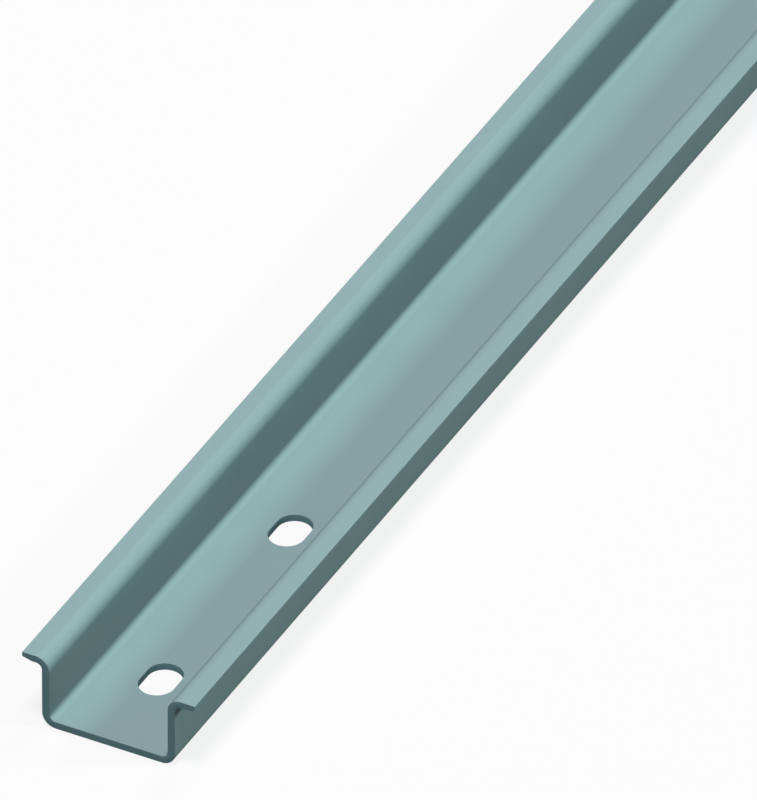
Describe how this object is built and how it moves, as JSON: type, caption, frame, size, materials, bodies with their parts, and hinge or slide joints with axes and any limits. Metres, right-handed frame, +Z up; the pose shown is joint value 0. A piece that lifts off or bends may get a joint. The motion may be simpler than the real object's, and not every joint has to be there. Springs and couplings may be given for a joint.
{
  "type": "din rail",
  "caption": "Deep top-hat mounting rail of zinc-plated sheet steel, with flanges that devices clip onto and slots for screws near its ends.",
  "frame": {"origin": "middle of the base's underside, halfway along the rail", "axes": "+X across the rail, +Y along the rail, +Z up from the base's underside to the flange tops"},
  "size_m": [0.035, 0.5, 0.015],
  "materials": {
    "zinc_plated_steel": "satin zinc plating, passivated blue-grey"
  },
  "bodies": {
    "root": {"rail": "zinc_plated_steel"}
  },
  "joints": []
}
